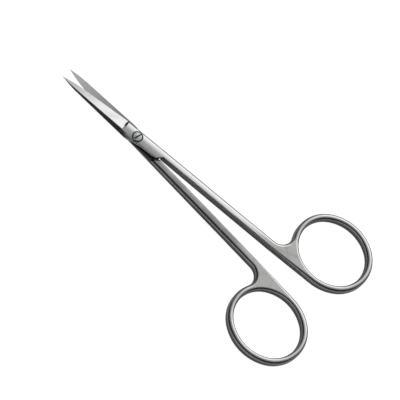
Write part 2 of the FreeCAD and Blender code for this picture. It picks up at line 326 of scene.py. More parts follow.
class HandlingHaze(Effect):
    """Cloudy patches where fingers and wiping have dulled the polish."""

    name = "handling_haze"
    inputs = (Port("Vector", SocketKind.VECTOR), Port("Scale", SocketKind.VALUE, 160.0))
    outputs = (Port("Mask", SocketKind.VALUE),)

    def wire(
        self, graph: Graph, given: dict[str, bpy.types.NodeSocket]
    ) -> dict[str, bpy.types.NodeSocket]:
        """Large soft patches with ragged rims."""
        large = graph.noise(given["Vector"], given["Scale"], 3.0, 0.55)
        return {"Mask": graph.step(large, 0.36, 0.68)}


class EdgeWear(Effect):
    """Bare, brighter metal where the rounded edges rub."""

    name = "edge_wear"
    inputs = (
        Port("Vector", SocketKind.VECTOR),
        Port("Normal", SocketKind.VECTOR),
        Port("Scale", SocketKind.VALUE, 900.0),
    )
    outputs = (Port("Mask", SocketKind.VALUE),)

    def wire(
        self, graph: Graph, given: dict[str, bpy.types.NodeSocket]
    ) -> dict[str, bpy.types.NodeSocket]:
        """Strips where the surface stands neither level nor upright, broken up by noise."""
        upright = graph.size_of(graph.split(given["Normal"])[2])
        off_level = graph.step(upright, 0.97, 0.84)
        off_wall = graph.step(upright, 0.25, 0.5)
        patchy = graph.step(graph.noise(given["Vector"], given["Scale"], 3.0), 0.35, 0.6)
        return {"Mask": graph.product(off_level, off_wall, patchy)}


@dataclass(frozen=True)
class HalfLayout:
    """Where the differently finished faces of a half and its places of painted shade lie, in its own
    frame, in metres.

    A pair names where a mask starts and where it is full, apart from shoulder_outer, which is
    the X and Y of a point on the shoulder's line.
    """

    bevel_start_x: float = 4.8 * MM
    bevel_deg: float = 15.5
    spine_deg: float = 37.0
    tip_x: float = 30.3 * MM
    point_x: float = 10.605 * MM
    root_x: float = 2.0 * MM
    inner_face_z: tuple[float, float] = (0.4 * MM, 0.2 * MM)
    junction_x: tuple[float, float] = (-46.0 * MM, -52.0 * MM)
    junction_z: tuple[float, float] = (1.7 * MM, 1.75 * MM)
    shank_back_x: tuple[float, float] = (-56.0 * MM, -44.0 * MM)
    shank_front_x: tuple[float, float] = (-7.0 * MM, -8.0 * MM)
    seat_reach: tuple[float, float] = (1.99 * MM, 1.71 * MM)
    shoulder_front_x: tuple[float, float] = (-7.0 * MM, -7.4 * MM)
    shoulder_back_x: tuple[float, float] = (-13.0 * MM, -12.6 * MM)
    shoulder_outer: tuple[float, float] = (-7.6 * MM, -2.59 * MM)
    shoulder_slope: float = -0.977
    rim_behind: tuple[float, float] = (0.85 * MM, 0.6 * MM)
    rim_ahead: tuple[float, float] = (-0.3 * MM, -0.1 * MM)
    rim_z: tuple[float, float] = (-0.5 * MM, -0.8 * MM)
    runout_reach: tuple[float, float] = (2.0 * MM, 1.2 * MM)
    runout_y: tuple[float, float] = (-0.1 * MM, -0.6 * MM)
    runout_z: tuple[float, float] = (0.2 * MM, 0.4 * MM)
    joint_front_x: tuple[float, float] = (3.5 * MM, 2.0 * MM)
    joint_back_x: tuple[float, float] = (-13.0 * MM, -12.0 * MM)
    joint_rim_y: tuple[float, float] = (-2.45 * MM, -2.35 * MM)


class HalfZones(Effect):
    """Masks for the faces of a half that were finished in different ways, and for the places where
    shade is painted.
    """

    name = "half_zones"
    inputs = (Port("Vector", SocketKind.VECTOR), Port("Normal", SocketKind.VECTOR))
    outputs = tuple(
        Port(name, SocketKind.VALUE)
        for name in (
            "Bevel", "Point", "Spine", "Inner Face", "Root", "Junction", "Shank",
            "Seat", "Shoulder", "Run-out", "Joint",
        )
    )

    def __init__(self, layout: HalfLayout) -> None:
        """Keeps where the faces lie."""
        self.layout = layout

    def wire(
        self, graph: Graph, given: dict[str, bpy.types.NodeSocket]
    ) -> dict[str, bpy.types.NodeSocket]:
        """Each mask tests how the surface stands and where it is."""
        lay = self.layout
        x, y, z = graph.split(given["Vector"])
        normal_x, normal_y, normal_z = graph.split(given["Normal"])
        height, upright = graph.size_of(z), graph.size_of(normal_z)
        on_blade = graph.step(x, lay.bevel_start_x, lay.bevel_start_x + 0.2 * MM)
        bevel_tilt = -math.sin(math.radians(lay.bevel_deg))
        spine_tilt = math.sin(math.radians(lay.spine_deg))
        inner = graph.product(
            graph.step(normal_z, -0.9, -0.98), graph.step(height, *lay.inner_face_z)
        )
        shoulder_wall = graph.product(
            graph.step(x, *lay.shoulder_front_x),
            graph.step(x, *lay.shoulder_back_x),
            graph.step(upright, 0.2, 0.05),
            graph.step(normal_x, 0.3, 0.5),
        )
        return {
            "Bevel": graph.product(on_blade, graph.math("COMPARE", normal_y, bevel_tilt, 0.06)),
            "Point": graph.step(x, lay.point_x, lay.tip_x),
            "Spine": graph.product(on_blade, graph.math("COMPARE", normal_y, spine_tilt, 0.1)),
            "Inner Face": inner,
            "Root": graph.step(x, lay.tip_x, lay.root_x),
            "Junction": graph.product(
                graph.step(upright, 0.9985, 0.9998),
                graph.step(height, *lay.junction_z),
                graph.step(x, *lay.junction_x),
            ),
            "Shank": graph.product(
                graph.step(x, *lay.shank_back_x), graph.step(x, *lay.shank_front_x)
            ),
            "Seat": graph.step(graph.from_z_axis(x, y), *lay.seat_reach),
            "Shoulder": graph.most(self.shoulder_rim(graph, x, y, z), shoulder_wall),
            "Run-out": self.runout(graph, (x, y, z), normal_x),
            "Joint": graph.product(
                graph.step(x, *lay.joint_front_x),
                graph.step(x, *lay.joint_back_x),
                graph.step(y, *lay.joint_rim_y),
                inner,
            ),
        }

    def shoulder_rim(
        self,
        graph: Graph,
        x: bpy.types.NodeSocket,
        y: bpy.types.NodeSocket,
        z: bpy.types.NodeSocket,
    ) -> bpy.types.NodeSocket:
        """Strip of the thick shank's outer face along the slanted shoulder.

        Args:
            graph: The group's graph.
            x: Place along the half.
            y: Place across it.
            z: Height over the joint's plane.

        Returns:
            The output that carries the mask.
        """
        lay = self.layout
        outer_x, outer_y = lay.shoulder_outer
        line_start = outer_x - outer_y * lay.shoulder_slope
        line_x = graph.math("MULTIPLY_ADD", y, lay.shoulder_slope, line_start)
        behind = graph.math("SUBTRACT", line_x, x)
        return graph.product(
            graph.step(behind, *lay.rim_behind),
            graph.step(behind, *lay.rim_ahead),
            graph.step(z, *lay.rim_z),
        )

    def runout(
        self, graph: Graph, place: tuple[bpy.types.NodeSocket, ...], normal_x: bpy.types.NodeSocket
    ) -> bpy.types.NodeSocket:
        """Hollow at the outer end of the bevel's start, where it leans toward the tip.

        Args:
            graph: The group's graph.
            place: X, Y and Z in the half's own frame.
            normal_x: How far the surface leans toward the tip.

        Returns:
            The output that carries the mask.
        """
        lay = self.layout
        x, y, z = place
        off_start = graph.size_of(graph.math("SUBTRACT", x, lay.bevel_start_x))
        return graph.product(
            graph.step(normal_x, 0.04, 0.12),
            graph.step(off_start, *lay.runout_reach),
            graph.step(z, *lay.runout_z),
            graph.step(y, *lay.runout_y),
        )


@dataclass(frozen=True)
class Surface:
    """Colour and roughness of one kind of metal surface."""

    colour: tuple[float, float, float, float]
    roughness: float


class Side(Enum):
    """Which half a finish is for: how the half's own frame is turned from the part's."""

    FRONT = (0.0, 0.0, -1.0)
    REAR = (math.pi, 0.0, -1.0)

    def rotation(self, opening_deg: float) -> tuple[float, float, float]:
        """Turn that carries the part's frame onto the half's."""
        tilt, roll, share = self.value
        return tilt, roll, share * math.radians(opening_deg / 2)


@dataclass(frozen=True)
class ForgedSteel:
    """Finish of a forged half: polished all over, with ground and matt faces.

    The root, point and painted shade colours, and a shank colour below the polished one, are no
    finishes of the steel. They carry shading of the photograph, and keep it in any other light.
    """

    name: str
    side: Side
    opening_deg: float = 6.8
    polished: Surface = Surface((0.725, 0.74, 0.743, 1.0), 0.17)
    shank_colour: tuple[float, float, float, float] = (0.735, 0.74, 0.735, 1.0)
    ground: Surface = Surface((0.75, 0.755, 0.75, 1.0), 0.24)
    matt: Surface = Surface((0.66, 0.665, 0.64, 1.0), 0.42)
    inner: Surface = Surface((0.60, 0.605, 0.60, 1.0), 0.36)
    root_colour: tuple[float, float, float, float] = (0.27, 0.275, 0.275, 1.0)
    point_colour: tuple[float, float, float, float] = (0.36, 0.365, 0.365, 1.0)
    worn_colour: tuple[float, float, float, float] = (0.80, 0.80, 0.79, 1.0)
    # Painted shade: the seat round the screw, the slanted shoulder, the bevel's run-out and the
    # joint's ledge are darkened toward this colour.
    painted_shade_colour: tuple[float, float, float, float] = (0.04, 0.04, 0.04, 1.0)
    haze_share: float = 0.5
    worn_share: float = 0.5
    streak_share: float = 0.10
    painted_shade_share: float = 0.92
    haze_roughness: float = 0.05
    scratch_roughness: float = 0.08
    streak_roughness: float = 0.03
    broad_lines: float = 1500.0
    broad_share: float = 1.5
    polished_relief: float = 0.35
    grain_height: float = 0.0012 * MM
    scratch_depth: float = 0.0015 * MM

    def build(self, effects: dict[str, bpy.types.NodeTree]) -> bpy.types.Material:
        """Makes the material.

        Args:
            effects: The shared effects by name.

        Returns:
            The finished material.
        """
        material, graph, shader = new_material(self.name)
        vector, normal = self.own_frame(graph)
        zones = graph.group(effects["half_zones"], Vector=vector, Normal=normal).outputs
        grain = graph.group(effects["ground_grain"], Vector=vector).outputs
        broad = graph.group(effects["ground_grain"], Vector=vector, Lines=self.broad_lines).outputs
        scratch = graph.group(effects["handling_scratches"], Vector=vector).outputs["Mask"]
        haze = graph.group(effects["handling_haze"], Vector=vector).outputs["Mask"]
        worn = graph.group(effects["edge_wear"], Vector=vector, Normal=normal).outputs["Mask"]
        graph.feed(shader.inputs["Base Color"], self.colour(graph, zones, grain, worn, haze))
        rough = self.roughness(graph, zones, grain, haze, scratch)
        graph.feed(shader.inputs["Roughness"], rough)
        graph.feed(shader.inputs["Normal"], self.relief(graph, zones, grain, broad, scratch))
        return material

    def own_frame(self, graph: Graph) -> tuple[bpy.types.NodeSocket, bpy.types.NodeSocket]:
        """Object coordinates and normal, turned into the half's own frame."""
        coordinates = graph.add("ShaderNodeTexCoord").outputs
        rotation = self.side.rotation(self.opening_deg)
        turned = []
        for source in ("Object", "Normal"):
            inputs = {"Vector": coordinates[source], "Rotation": rotation}
            node = graph.add("ShaderNodeMapping", inputs, vector_type="VECTOR")
            turned.append(node.outputs[0])
        return turned[0], turned[1]

    def colour(
        self,
        graph: Graph,
        zones: bpy.types.NodeOutputs,
        grain: bpy.types.NodeOutputs,
        worn: bpy.types.NodeSocket,
        haze: bpy.types.NodeSocket,
    ) -> bpy.types.NodeSocket:
        """Base colour.

        Args:
            graph: The material's graph.
            zones: Masks of the faces.
            grain: Grinding lines.
            worn: Mask of the rubbed edges.
            haze: Mask of the dulled patches.

        Returns:
            The output that carries the colour.
        """
        # Painted shade: the inner face darkens toward the root, the bevel toward the point, and the
        # shank toward its shank colour.
        inner = graph.blend_colour(zones["Root"], self.inner.colour, self.root_colour)
        polished = graph.blend_colour(zones["Shank"], self.polished.colour, self.shank_colour)
        hazed = graph.product(haze, self.haze_share)
        result = graph.blend_colour(hazed, polished, self.ground.colour)
        bevel = graph.blend_colour(zones["Point"], self.ground.colour, self.point_colour)
        result = graph.blend_colour(zones["Bevel"], result, bevel)
        result = graph.blend_colour(zones["Junction"], result, self.matt.colour)
        result = graph.blend_colour(zones["Inner Face"], result, inner)
        rubbed = graph.product(worn, self.worn_share)
        result = graph.blend_colour(rubbed, result, self.worn_colour)
        streaks = graph.product(grain["Streak"], self.streak_share)
        result = graph.blend_colour(streaks, result, self.matt.colour)
        # Painted shade over the seat, the shoulder, the run-out and the joint's ledge.
        painted_shade = graph.most(zones["Seat"], zones["Shoulder"], zones["Run-out"], zones["Joint"])
        painted_shade = graph.product(painted_shade, self.painted_shade_share)
        return graph.blend_colour(painted_shade, result, self.painted_shade_colour)

    def roughness(
        self,
        graph: Graph,
        zones: bpy.types.NodeOutputs,
        grain: bpy.types.NodeOutputs,
        haze: bpy.types.NodeSocket,
        scratch: bpy.types.NodeSocket,
    ) -> bpy.types.NodeSocket:
        """Roughness of each face, raised by haze, scratches and grinding lines.

        Args:
            graph: The material's graph.
            zones: Masks of the faces.
            grain: Grinding lines.
            haze: Mask of the dulled patches.
            scratch: Mask of the hair scratches.

        Returns:
            The output that carries the roughness.
        """
        ground = graph.most(zones["Bevel"], zones["Spine"])
        result = graph.blend(ground, self.polished.roughness, self.ground.roughness)
        result = graph.blend(zones["Junction"], result, self.matt.roughness)
        result = graph.blend(zones["Inner Face"], result, self.inner.roughness)
        result = graph.math("MULTIPLY_ADD", haze, self.haze_roughness, result)
        result = graph.math("MULTIPLY_ADD", scratch, self.scratch_roughness, result)
        return graph.math("MULTIPLY_ADD", grain["Streak"], self.streak_roughness, result)

    def relief(
        self,
        graph: Graph,
        zones: bpy.types.NodeOutputs,
        grain: bpy.types.NodeOutputs,
        broad: bpy.types.NodeOutputs,
        scratch: bpy.types.NodeSocket,
    ) -> bpy.types.NodeSocket:
        """Normal with grinding lines, deeper on the ground and inner faces, and with scratches.

        Args:
            graph: The material's graph.
            zones: Masks of the faces.
            grain: Fine grinding lines.
            broad: Broad grinding lines.
            scratch: Mask of the hair scratches.

        Returns:
            The output that carries the normal.
        """
        lines = graph.math("MULTIPLY_ADD", broad["Height"], self.broad_share, grain["Height"])
        ground = graph.most(zones["Bevel"], zones["Inner Face"])
        height = graph.product(lines, graph.blend(ground, self.polished_relief, 1.0))
        depth = -self.scratch_depth / self.grain_height
        height = graph.math("MULTIPLY_ADD", scratch, depth, height)
        inputs = {"Height": height, "Distance": self.grain_height, "Strength": 1.0}
        return graph.add("ShaderNodeBump", inputs).outputs[0]


@dataclass(frozen=True)
class TurnedSteel:
    """Finish of the pivot screw: lathe-turned, with dark painted shade at its rim and below its
    head's face.
    """

    name: str = "turned_screw_steel"
    turned: Surface = Surface((0.56, 0.565, 0.57, 1.0), 0.27)
    worn_colour: tuple[float, float, float, float] = (0.80, 0.80, 0.79, 1.0)
    # Painted shade at the head's rim and on the inside that shows through the slot.
    painted_shade_colour: tuple[float, float, float, float] = (0.08, 0.08, 0.08, 1.0)
    groove_pitch: float = 0.09 * MM
    groove_height: float = 0.001 * MM
    rim_reach: tuple[float, float] = (1.5 * MM, 1.58 * MM)
    rim_share: float = 0.8
    slot_z: tuple[float, float] = (1.28 * MM, 1.16 * MM)
    slot_deg: float = 75.0
    clean_end: tuple[float, float] = (0.35 * MM, 0.05 * MM)
    clean_share: float = 0.25
    worn_share: float = 0.5
    haze_scale: float = 700.0
    haze_roughness: float = 0.08
    scratch_roughness: float = 0.1
    scratch_depth: float = 1.2

    def build(self, effects: dict[str, bpy.types.NodeTree]) -> bpy.types.Material:
        """Makes the material.

        Args:
            effects: The shared effects by name.

        Returns:
            The finished material.
        """
        material, graph, shader = new_material(self.name)
        coordinates = graph.add("ShaderNodeTexCoord").outputs
        vector, normal = coordinates["Object"], coordinates["Normal"]
        x, y, z = graph.split(vector)
        reach = graph.from_z_axis(x, y)
        groove = graph.math("SINE", graph.product(reach, 2 * math.pi / self.groove_pitch))
        scratch = graph.group(effects["handling_scratches"], Vector=vector).outputs["Mask"]
        haze = graph.group(effects["handling_haze"], Vector=vector, Scale=self.haze_scale)
        worn = graph.group(effects["edge_wear"], Vector=vector, Normal=normal).outputs["Mask"]
        rubbed = graph.product(worn, self.worn_share)
        colour = graph.blend_colour(rubbed, self.turned.colour, self.worn_colour)
        # Painted shade inside the slot and round the head's rim.
        painted_shade = graph.most(
            self.painted_slot_shade(graph, (x, y, z)),
            graph.product(graph.step(reach, *self.rim_reach), self.rim_share),
        )
        colour = graph.blend_colour(painted_shade, colour, self.painted_shade_colour)
        graph.feed(shader.inputs["Base Color"], colour)
        hazed = haze.outputs["Mask"]
        rough = graph.math("MULTIPLY_ADD", hazed, self.haze_roughness, self.turned.roughness)
        rough = graph.math("MULTIPLY_ADD", scratch, self.scratch_roughness, rough)
        graph.feed(shader.inputs["Roughness"], rough)
        height = graph.math("MULTIPLY_ADD", scratch, -self.scratch_depth, groove)
        inputs = {"Height": height, "Distance": self.groove_height, "Strength": 1.0}
        graph.feed(shader.inputs["Normal"], graph.add("ShaderNodeBump", inputs).outputs[0])
        return material

    def painted_slot_shade(
        self, graph: Graph, place: tuple[bpy.types.NodeSocket, ...]
    ) -> bpy.types.NodeSocket:
        """Mask of painted shade on the inside that shows through the slot, mostly gone at one end of
        it.

        Args:
            graph: The material's graph.
            place: X, Y and Z.

        Returns:
            The output that carries the mask.
        """
        x, y, z = place
        lean = math.radians(self.slot_deg)
        across = graph.product(x, math.cos(lean))
        along = graph.math("MULTIPLY_ADD", y, math.sin(lean), across)
        kept = graph.step(along, *self.clean_end, self.clean_share, 1.0)
        return graph.product(graph.step(z, *self.slot_z), kept)


def new_material(
    name: str, metallic: float = 1.0
) -> tuple[bpy.types.Material, Graph, bpy.types.Node]:
    """Starts a material.

    Args:
        name: The material's name.
        metallic: 1 for metal and 0 for anything else.

    Returns:
        The material, its graph and its shader.
    """
    material = bpy.data.materials.new(name)
    material.use_nodes = True
    shader = material.node_tree.nodes["Principled BSDF"]
    shader.inputs["Metallic"].default_value = metallic
    return material, Graph(material.node_tree), shader


def ray_share(graph: Graph, camera: float, mirrored: float) -> bpy.types.NodeSocket:
    """A level that only what looks at a surface gets, and not what it lights.

    Args:
        graph: The graph of the material or the world.
        camera: The level for rays from the camera.
        mirrored: The level for rays that metal reflects or glass lets through.

    Returns:
        The output that carries the level.
    """
    rays = graph.add("ShaderNodeLightPath").outputs
    through = graph.most(rays["Is Glossy Ray"], rays["Is Transmission Ray"])
    mirrored_part = graph.product(through, mirrored)
    return graph.math("MULTIPLY_ADD", rays["Is Camera Ray"], camera, mirrored_part)


@dataclass(frozen=True)
class PaperFloor:
    """Plain pale paper that the part lies on."""

    name: str = "floor_paper"
    reach: float = 1.5
    colour: tuple[float, float, float, float] = (0.68, 0.68, 0.68, 1.0)
    roughness: float = 0.9
    camera_glow: float = 0.95
    mirrored_glow: float = 0.01
    fibre_scale: float = 900.0
    fibre_height: float = 0.02 * MM
    tooth: float = 0.3

    def build(self) -> bpy.types.Object:
        """Lays the floor under the part.

        Returns:
            The floor, staged.
        """
        height, far = CAD_BOX[0].z, self.reach
        corners = [(-far, -far, height), (far, -far, height), (far, far, height), (-far, far, height)]
        mesh = bpy.data.meshes.new("floor")
        mesh.from_pydata(corners, [], [(0, 1, 2, 3)])
        mesh.materials.append(self.material())
        floor = bpy.data.objects.new("floor", mesh)
        bpy.context.scene.collection.objects.link(floor)
        return floor

    def material(self) -> bpy.types.Material:
        """Paper with a faint tooth, bright to the camera and plain to the light."""
        material, graph, shader = new_material(self.name, metallic=0.0)
        shader.inputs["Base Color"].default_value = self.colour
        shader.inputs["Roughness"].default_value = self.roughness
        shader.inputs["Emission Color"].default_value = (1.0, 1.0, 1.0, 1.0)
        glow = ray_share(graph, self.camera_glow, self.mirrored_glow)
        graph.feed(shader.inputs["Emission Strength"], glow)
        point = graph.add("ShaderNodeTexCoord").outputs["Object"]
        fibres = graph.noise(point, self.fibre_scale, 3.0)
        inputs = {"Height": fibres, "Distance": self.fibre_height, "Strength": self.tooth}
        graph.feed(shader.inputs["Normal"], graph.add("ShaderNodeBump", inputs).outputs[0])
        return material


@dataclass(frozen=True)
class SoftStudio:
    """Long soft light over one side of the part, and a dim room on the other and at its ends.

    Levels go by the angle from straight up, in degrees, positive toward -Y. The ends are where
    X is large.
    """

    levels: tuple[tuple[float, float], ...] = (
        (-90.0, 0.4),
        (-76.0, 0.3),
        (-66.0, 0.03),
        (-50.0, 0.01),
        (-30.0, 0.02),
        (-20.0, 0.05),
        (-14.0, 0.16),
        (-9.0, 0.27),
        (-4.0, 0.35),
        (4.0, 0.4),
        (15.0, 0.44),
        (22.0, 0.55),
        (27.0, 0.73),
        (32.0, 0.95),
        (37.0, 1.12),
        (44.0, 1.3),
        (60.0, 1.25),
        (73.0, 1.15),
        (79.0, 0.35),
        (85.0, 0.06),
        (90.0, 0.05),
    )
    end_turn: tuple[float, float] = (0.25, 0.75)
    end_shade: float = 0.9
    end_colour: tuple[float, float, float, float] = (0.01, 0.01, 0.01, 1.0)
    seen_colour: tuple[float, float, float, float] = (1.0, 1.0, 1.0, 1.0)

    def build(self) -> bpy.types.World:
        """Makes the world.

        Returns:
            The world, set on the scene.
        """
        world = bpy.data.worlds.new("soft_studio")
        world.use_nodes = True
        graph = Graph(world.node_tree)
        background = world.node_tree.nodes["Background"]
        x, y, z = graph.split(graph.add("ShaderNodeTexCoord").outputs["Generated"])
        angle = graph.math("ARCTAN2", graph.product(y, -1.0), z)
        place = graph.math("MULTIPLY_ADD", angle, 1 / math.pi, 0.5)
        ramp = graph.add("ShaderNodeValToRGB", {0: place})
        stops = ramp.color_ramp.elements
        while len(stops) < len(self.levels):
            stops.new(1.0)
        for index, (degrees, level) in enumerate(self.levels):
            stops[index].position = degrees / 180 + 0.5
            stops[index].color = (level, level, level, 1.0)
        end = graph.step(graph.size_of(x), *self.end_turn, 0.0, self.end_shade)
        soft = graph.blend_colour(end, ramp.outputs["Color"], self.end_colour)
        seen = graph.add("ShaderNodeLightPath").outputs["Is Camera Ray"]
        colour = graph.blend_colour(seen, soft, self.seen_colour)
        graph.feed(background.inputs["Color"], colour)
        bpy.context.scene.world = world
        return world


@dataclass(frozen=True)
class PhotoCamera:
    """Long lens at the photograph's angle."""

    azimuth_deg: float = 92.96
    elevation_deg: float = 65.05
    roll_deg: float = 40.18
    aim: tuple[float, float, float] = (-27.85454 * MM, 0.7922 * MM, 0.0)
    distance: float = 1.136
    image_width: float = 400.0
    pixels_per_metre: float = 3187.07
    sensor: float = 36.0
    clip: tuple[float, float] = (0.01, 20.0)

    def build(self) -> bpy.types.Object:
        """Places the camera.

        Returns:
            The camera, set on the scene.
        """
        azimuth = math.radians(self.azimuth_deg)
        elevation = math.radians(self.elevation_deg)
        level = math.cos(elevation)
        outward = Vector((level * math.cos(azimuth), level * math.sin(azimuth), math.sin(elevation)))
        lens = bpy.data.cameras.new("camera")
        lens.sensor_width = self.sensor
        view_width = self.image_width / self.pixels_per_metre
        lens.lens = self.sensor * self.distance / view_width
        lens.clip_start, lens.clip_end = self.clip
        camera = bpy.data.objects.new("camera", lens)
        bpy.context.scene.collection.objects.link(camera)
        camera.location = Vector(self.aim) + outward * self.distance
        camera.rotation_mode = "QUATERNION"
        roll = Quaternion((0.0, 0.0, 1.0), math.radians(self.roll_deg))
        camera.rotation_quaternion = (-outward).to_track_quat("-Z", "Y") @ roll
        bpy.context.scene.camera = camera
        return camera


@dataclass(frozen=True)
class ShankShape:
    """Section of a shank in its half's own frame, in metres, for its exact skin and normals."""

    back_x: float = -39.8 * MM
    front_x: float = 4.5 * MM
    outer_y: float = -2.59 * MM
    crown_y: float = -0.37 * MM
    half_thickness: float = 1.8 * MM
    crown_radius: float = 6.8 * MM
    edge_radius: float = 1.3 * MM
    level_end_x: float = -40.0 * MM
    thinning_radius: float = 1904.8 * MM
    cuts_over_edge: int = 14
    most_off: float = 0.34 * MM

    def centres(self, x: float) -> tuple[float, float, float, float]:
        """Centres of the section's two arcs.

        Args:
            x: Place along the shank.

        Returns:
            Height of the crown's centre, place and height of the rounded edge's centre, and the
            angle over the outer side where the rounded edge passes into the crown.
        """
        past = max(0.0, x - self.level_end_x)
        drop = past * past / (2 * self.thinning_radius)
        crown_z = self.half_thickness - self.crown_radius - drop
        edge_y = self.outer_y + self.edge_radius
        reach = self.crown_radius - self.edge_radius
        edge_z = crown_z + math.sqrt(reach**2 - (edge_y - self.crown_y) ** 2)
        return crown_z, edge_y, edge_z, math.atan2(edge_z - crown_z, self.crown_y - edge_y)

    def holds(self, x: float) -> bool:
        """True where the section holds."""
        return self.back_x < x < self.front_x

    def normal(self, x: float, y: float, z: float) -> Vector:
        """Outward normal of the crowned face, the rounded outer edge or the outer wall.

        Args:
            x: Place along the shank.
            y: Place across it, with the outer wall at the negative end.
            z: Height over the middle plane, which may be negative.

        Returns:
            The unit normal in the half's own frame.
        """
        crown_z, edge_y, edge_z, crown_turn = self.centres(x)
        turn = math.atan2(abs(z) - edge_z, edge_y - y)
        if y < edge_y and turn < crown_turn:
            turn = max(0.0, turn)
        else:
            turn = math.atan2(abs(z) - crown_z, self.crown_y - y)
        slope = max(0.0, x - self.level_end_x) / self.thinning_radius
        return Vector((slope * math.sin(turn), -math.cos(turn), math.copysign(math.sin(turn), z)))

    def settle(self, point: Vector) -> Vector:
        """Moves a point of the rounded outer edge onto its exact arc.

        Args:
            point: A point of the half's mesh in the half's own frame.

        Returns:
            The point on the arc, or the same point where it belongs to another face.
        """
        _, edge_y, edge_z, crown_turn = self.centres(point.x)
        over, out = abs(point.z) - edge_z, edge_y - point.y
        turn = math.atan2(over, out)
        off = abs(math.hypot(over, out) - self.edge_radius)
        if not 0.0 < turn < crown_turn or off >= self.most_off:
            return point
        place = edge_y - math.cos(turn) * self.edge_radius
        height = edge_z + math.sin(turn) * self.edge_radius
        return Vector((point.x, place, math.copysign(height, point.z)))

    def cut_levels(self) -> list[tuple[Vector, Vector]]:
        """Planes that cut the rounded edge into narrow strips.

        Returns:
            A point and a normal for each plane, above and below in turn.
        """
        _, edge_y, edge_z, crown_turn = self.centres(self.level_end_x)
        planes = []
        for step in range(self.cuts_over_edge + 1):
            turn = crown_turn * step / self.cuts_over_edge
            place = edge_y - math.cos(turn) * self.edge_radius
            height = edge_z + math.sin(turn) * self.edge_radius
            lean = turn / 2
            for side in (1.0, -1.0):
                across = Vector((0.0, math.sin(lean), side * math.cos(lean)))
                planes.append((Vector((0.0, place, side * height)), across))
        return planes


@dataclass
class ForgedHalf:
    """One half: the CAD solid's skin, closed and smoothed, with its finish.

    The mesh of the CAD solid cuts the shank's rounded edge short between its rows, so that edge
    is cut into strips and settled on its exact arc.
    """

    node: str
    body: str
    finish: ForgedSteel
    shank: ShankShape = ShankShape()
    slot: str = "satin_steel"
    join: float = 0.0005 * MM
    snap: float = 0.002 * MM
    sliver: float = 0.001 * MM
    crease_deg: float = 28.0
    true_deg: float = 24.0

    def build(self, effects: dict[str, bpy.types.NodeTree]) -> bpy.types.Object:
        """Closes the solid's loose faces, smooths them and dresses the half.

        Args:
            effects: The shared effects by name.

        Returns:
            The finished piece, in place of the CAD solid.
        """
        mesh = self.closed_skin()
        smooth_by_angle(mesh, self.crease_deg)
        mesh.materials.append(self.finish.build(effects))
        piece = bpy.data.objects.new("forged_" + self.node, mesh)
        bpy.context.scene.collection.objects.link(piece)
        weighted = piece.modifiers.new("level_faces_lead", "WEIGHTED_NORMAL")
        weighted.mode = "FACE_AREA_WITH_ANGLE"
        weighted.keep_sharp = True
        apply_modifier(piece, weighted)
        self.true_shank_normals(piece.data)
        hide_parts(self.node)
        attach(piece, self.body)
        count = len(piece.data.polygons)
        LOG.info("%s: %d faces, finish %s", piece.name, count, self.finish.name)
        return piece

    def own_turn(self) -> Matrix:
        """Turn that carries the part's frame onto the half's own."""
        return Euler(self.finish.side.rotation(self.finish.opening_deg)).to_matrix()

    def round_shank(self, work: bmesh.types.BMesh) -> None:
        """Cuts the shank's coarse rounded edge into narrow strips and settles their points.

        Args:
            work: The half's closed mesh, in the shared frame.
        """
        turn = self.own_turn()
        bmesh.ops.transform(work, matrix=turn.to_4x4(), verts=work.verts)
        for place, across in self.shank.cut_levels():
            work.normal_update()
            faces = [face for face in work.faces if self.is_outer_skin(face)]
            edges = {edge for face in faces for edge in face.edges}
            verts = {vert for face in faces for vert in face.verts}
            cut = [*faces, *edges, *verts]
            bmesh.ops.bisect_plane(work, geom=cut, dist=self.snap, plane_co=place, plane_no=across)
        skin = {vert for face in work.faces if self.is_outer_skin(face) for vert in face.verts}
        for vert in skin:
            if self.shank.holds(vert.co.x):
                vert.co = self.shank.settle(vert.co)
        triangulate(work)
        bmesh.ops.dissolve_degenerate(work, dist=self.sliver, edges=work.edges)
        triangulate(work)
        bmesh.ops.transform(work, matrix=turn.transposed().to_4x4(), verts=work.verts)
        work.normal_update()

    def is_outer_skin(self, face: bmesh.types.BMFace) -> bool:
        """True for a face of the shank's outer side or of its crowned faces, in the own frame."""
        across = [vert.co.y for vert in face.verts]
        along = [vert.co.x for vert in face.verts]
        in_reach = max(along) > self.shank.back_x and min(along) < self.shank.front_x
        near = min(across) < self.shank.outer_y + self.shank.edge_radius
        faces_out = face.normal.y < -0.02 and abs(face.normal.x) < 0.2
        return in_reach and near and faces_out

    def true_shank_normals(self, mesh: bpy.types.Mesh) -> None:
        """Sets the normals along the shank to those of its exact section.

        Args:
            mesh: The half's mesh, in the shared frame.
        """
        turn = self.own_turn()
        back = turn.transposed()
        near = math.cos(math.radians(self.true_deg))
        normals = [corner.vector.copy() for corner in mesh.corner_normals]
        for polygon in mesh.polygons:
            face_normal = turn @ polygon.normal
            for index in polygon.loop_indices:
                place = turn @ mesh.vertices[mesh.loops[index].vertex_index].co
                if not self.shank.holds(place.x):
                    continue
                exact = self.shank.normal(*place)
                if exact.dot(face_normal) > near:
                    normals[index] = back @ exact
        mesh.normals_split_custom_set(normals)

    def closed_skin(self) -> bpy.types.Mesh:
        """Copy of the CAD solid's mesh with its doubled points merged.

        Returns:
            A closed mesh that carries nothing else over from the CAD model.
        """
        work = bmesh.new()
        work.from_mesh(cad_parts[self.node].data)
        bmesh.ops.remove_doubles(work, verts=work.verts, dist=self.join)
        self.round_shank(work)
        work.verts.index_update()
        points = [vertex.co[:] for vertex in work.verts]
        faces = [[vertex.index for vertex in face.verts] for face in work.faces]
        work.free()
        mesh = bpy.data.meshes.new("forged_" + self.node)
        mesh.from_pydata(points, [], faces)
        return mesh


